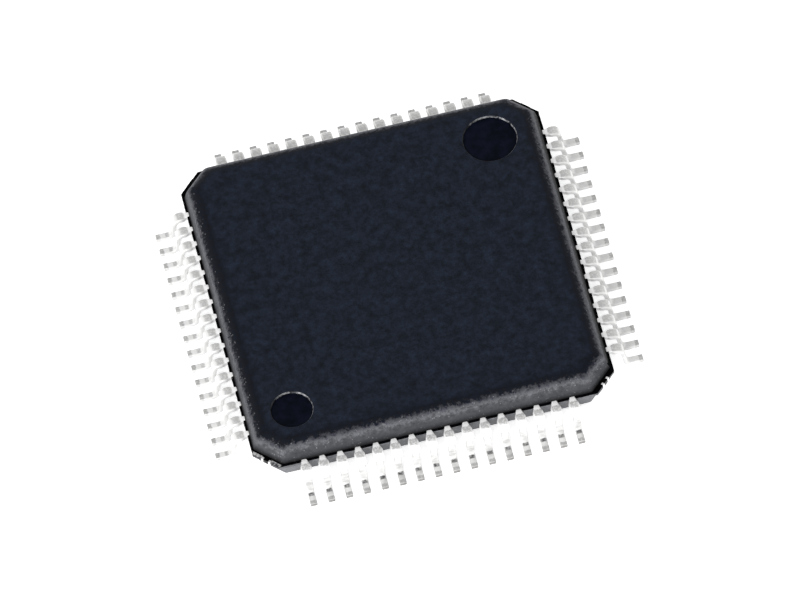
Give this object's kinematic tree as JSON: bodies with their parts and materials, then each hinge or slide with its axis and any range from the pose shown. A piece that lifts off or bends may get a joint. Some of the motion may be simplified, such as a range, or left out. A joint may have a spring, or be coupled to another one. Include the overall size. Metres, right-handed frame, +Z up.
{
  "type": "quad flat pack chip",
  "caption": "Surface-mount integrated circuit: a flat square black moulded body with cut corners and a row of gull-wing leads on each of its four sides.",
  "frame": {"origin": "on the board plane that the feet of the leads stand on, under the middle of the body", "axes": "+Z up from the board through the top of the body; the front row of leads is on -Y and its first lead, at the first-lead mark, is at -X; +X points along the front row to its last lead; leads are counted counter-clockwise seen from above"},
  "size_m": [0.012, 0.012, 0.0015],
  "materials": {
    "mould_compound": "satin",
    "tin_plated_lead": "satin",
    "copper_alloy": "satin",
    "die_attach_adhesive": "satin",
    "silicon": "gloss",
    "gold_wire": "polished"
  },
  "bodies": {
    "root": {"moulded_body": "mould_compound", "front_leads": "tin_plated_lead", "right_leads": "tin_plated_lead", "back_leads": "tin_plated_lead", "left_leads": "tin_plated_lead", "die_paddle": "copper_alloy", "die_attach": "die_attach_adhesive", "silicon_die": "silicon", "front_bond_wires": "gold_wire", "right_bond_wires": "gold_wire", "back_bond_wires": "gold_wire", "left_bond_wires": "gold_wire"}
  },
  "joints": []
}
